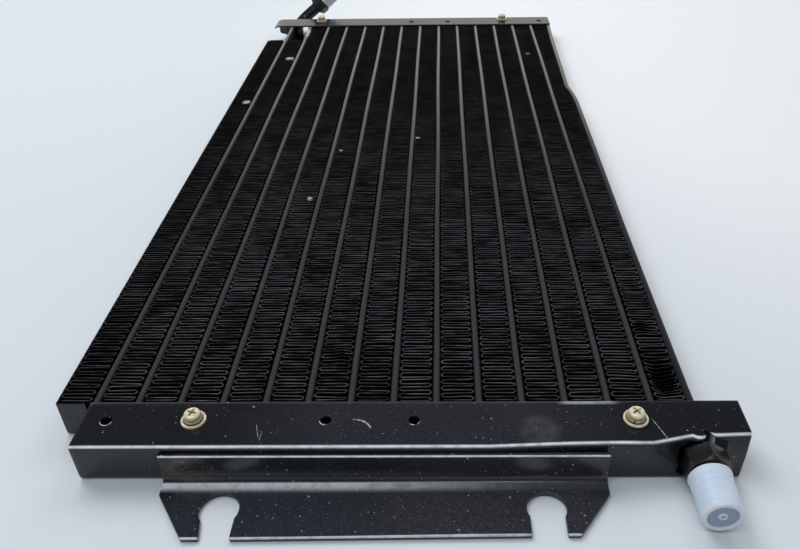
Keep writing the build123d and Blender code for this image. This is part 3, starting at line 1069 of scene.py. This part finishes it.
# The photo's size and its camera: place in metres, turns in radians, lens and centre in pixels
PHOTO_WIDTH = 800
PHOTO_HEIGHT = 549
CAMERA_PLACE = (27.17 * MM, -290.92 * MM + FRONT_EDGE, 310.94 * MM)
CAMERA_PITCH = 0.615
CAMERA_YAW = -0.015
CAMERA_ROLL = 0.014
FOCAL_PIXELS = 753.5
CENTRE_PIXEL = (434.07, 277.47)


def make_camera():
    """The camera that took the photo, as fitted to the part's corners."""
    data = bpy.data.cameras.new("camera")
    data.sensor_width = 36.0
    data.sensor_fit = "HORIZONTAL"
    data.lens = FOCAL_PIXELS * data.sensor_width / PHOTO_WIDTH
    data.shift_x = -(CENTRE_PIXEL[0] - PHOTO_WIDTH / 2) / PHOTO_WIDTH
    data.shift_y = (CENTRE_PIXEL[1] - PHOTO_HEIGHT / 2) / PHOTO_WIDTH
    data.clip_start = 0.01
    camera = bpy.data.objects.new("camera", data)
    bpy.context.scene.collection.objects.link(camera)
    turn = camera_turn(CAMERA_PITCH, CAMERA_YAW, CAMERA_ROLL)
    camera.matrix_world = Matrix.Translation(Vector(CAMERA_PLACE)) @ turn.to_4x4()
    bpy.context.scene.camera = camera


def make_stage():
    """A wide pale floor, with a pool of light painted at the far right."""
    deselect_all()
    bpy.ops.mesh.primitive_plane_add(size=30.0, location=(0, 0, 0))
    floor = bpy.context.active_object
    floor.name = "floor"
    stage = Finish("floor_paint", Roughness=0.8)
    color = stage.mix(stage.noise(1.4, 2.0), (0.635, 0.675, 0.715), (0.665, 0.705, 0.745))
    # Painted pool of light at the far right
    color = stage.mix(near_point(stage, 0.60, 0.45, 0.95), color, (0.82, 0.84, 0.86))
    paint_with(floor, stage.set(Base_Color=color))


def area_light(name, place, target, size, power, color):
    """A rectangular studio light aimed at a target."""
    data = bpy.data.lights.new(name, "AREA")
    data.shape = "RECTANGLE"
    data.size, data.size_y = size
    data.energy = power
    data.color = color
    light = bpy.data.objects.new(name, data)
    bpy.context.scene.collection.objects.link(light)
    light.location = place
    light.rotation_euler = (Vector(target) - Vector(place)).to_track_quat("-Z", "Y").to_euler()
    return light


class Room(Finish):
    """The room round the part, as the world's nodes: pale near the horizon and dim above."""

    def __init__(self):
        world = bpy.data.worlds.new("room")
        world.use_nodes = True
        bpy.context.scene.world = world
        self.tree = world.node_tree
        self.shader = self.tree.nodes["Background"]
        place = self.tree.nodes.new("ShaderNodeTexCoord")
        self.place = Value(self, place.outputs["Generated"])
        self.x, self.y, self.z = self.split(self.place)
        stops = (
            (0.0, (0.62, 0.62, 0.61)), (0.30, (0.60, 0.59, 0.57)), (0.45, (0.20, 0.20, 0.20)),
            (0.62, (0.075, 0.08, 0.09)), (1.0, (0.20, 0.22, 0.24)),
        )
        sky = self.node("ShaderNodeValToRGB", {"stops": stops}, self.z)
        wall = self.y.ramp(0.55, 0.95) * (1 - self.z.ramp(0.30, 0.45))
        self.tree.links.new(self.mix(wall, sky, (1.0, 0.96, 0.90)).socket, self.shader.inputs[0])


def make_lights():
    """A strip that draws the folds' glints, two soft lights that don't mirror, and the room."""
    area_light(
        "front_strip", (-0.2, -0.85, 1.6), (-0.05, -0.4, 0), (1.9, 0.3), 10.0, (0.93, 0.97, 1.0)
    )
    for name, place, target, power, color in (
        ("key", (-0.75, 0.65, 1.6), (0.05, -0.05, 0), 22.0, (0.97, 0.99, 1.0)),
        ("back_fill", (0.75, 1.2, 1.5), (0.4, 0.4, 0), 11.0, (0.98, 0.99, 1.0)),
    ):
        light = area_light(name, place, target, (1.2, 1.2), power, color)
        light.visible_glossy = False
    Room()


# Where highlights are painted on the near rims of the spare holes
HOLE_RIM_HIGHLIGHTS = tuple((run_x(gap) + BEND_R, HOLE_Y) for gap in SPARE_HOLE_GAPS)
# Scratches on the front channel's top: start, end and width, in metres
FRONT_SCRATCHES = (
    ((-0.0203, -0.3447), (-0.0156, -0.3454), 0.00065),
    ((-0.0156, -0.3454), (-0.0123, -0.3479), 0.00075),
    ((-0.0123, -0.3479), (-0.0105, -0.3507), 0.00065),
    ((-0.0701, -0.3480), (-0.0676, -0.3570), 0.00020),
    ((-0.0663, -0.3529), (-0.0667, -0.3591), 0.00018),
    ((0.1350, -0.3445), (0.1386, -0.3536), 0.00032),
    ((0.1386, -0.3536), (0.1401, -0.3577), 0.00045),
)
# Patches on the paint: centre, radius, colour and grain
FRONT_PAINT = gloss_paint(
    "front_channel_paint", scratches=FRONT_SCRATCHES, rim_highlights=HOLE_RIM_HIGHLIGHTS, dusty=0.4,
    folds=front_channel_highlights,
    patches=(
        ((run_x(RUNS - 1) + 11 * MM, channel_low.y + 3 * MM, 12 * MM), 0.0115, BROWN, 260.0),
        ((0.025, -0.349, CHANNEL_HEIGHT), 0.12, (0.024, 0.024, 0.033), 1500.0),
    ),
)
# The rear channel's painted highlight on its fold is fainter
REAR_PAINT = gloss_paint("rear_channel_paint", dusty=0.4, painted_sheen=0.3)
BRACKET_PAINT = gloss_paint(
    "bracket_paint", roughness=0.18, dusty=1.6, folds=bracket_highlights,
    patches=(
        # Painted reflection: a gold patch on the bracket's upright, the floor seen through a slot
        ((-0.102, channel_low.y - 3 * MM, 11 * MM), 0.0150, SLOT_REFLECTION_GOLD, 220.0),
        ((0.060, channel_low.y - 26 * MM, 3 * MM), 0.100, (0.032, 0.033, 0.043), 1500.0),
        ((-0.065, channel_low.y - 24 * MM, 3 * MM), 0.080, (0.016, 0.020, 0.030), 1500.0),
    ),
)
PART_PAINT = gloss_paint("part_paint", tint=(0.010, 0.011, 0.013), roughness=0.14, dusty=0.4)
UNION_PAINT = gloss_paint("union_paint", tint=(0.0055, 0.0055, 0.0055), roughness=0.30, dusty=0.4)
TUBE_PAINT = tube_paint()
FIN_PAINT = fin_paint()
YELLOW_ZINC = zinc_plating()
PLAIN_ZINC = plain_zinc()
SEAL_RUBBER = seal_rubber()
MILKY_PLASTIC = cap_plastic()

make_camera()
make_stage()
make_lights()
make_tube()
for strip in range(STRIPS):
    make_fin_strip(strip)
make_channel("front_channel_sheet", "front_channel", False, pushed_in_end, FRONT_PAINT)
make_channel("rear_channel_sheet", "rear_channel", True, rounded_end, REAR_PAINT)
make_simple_pieces()
make_fasteners()
for end in ("inlet", "outlet"):
    make_cap(end)

bpy.context.scene.view_settings.view_transform = "Standard"
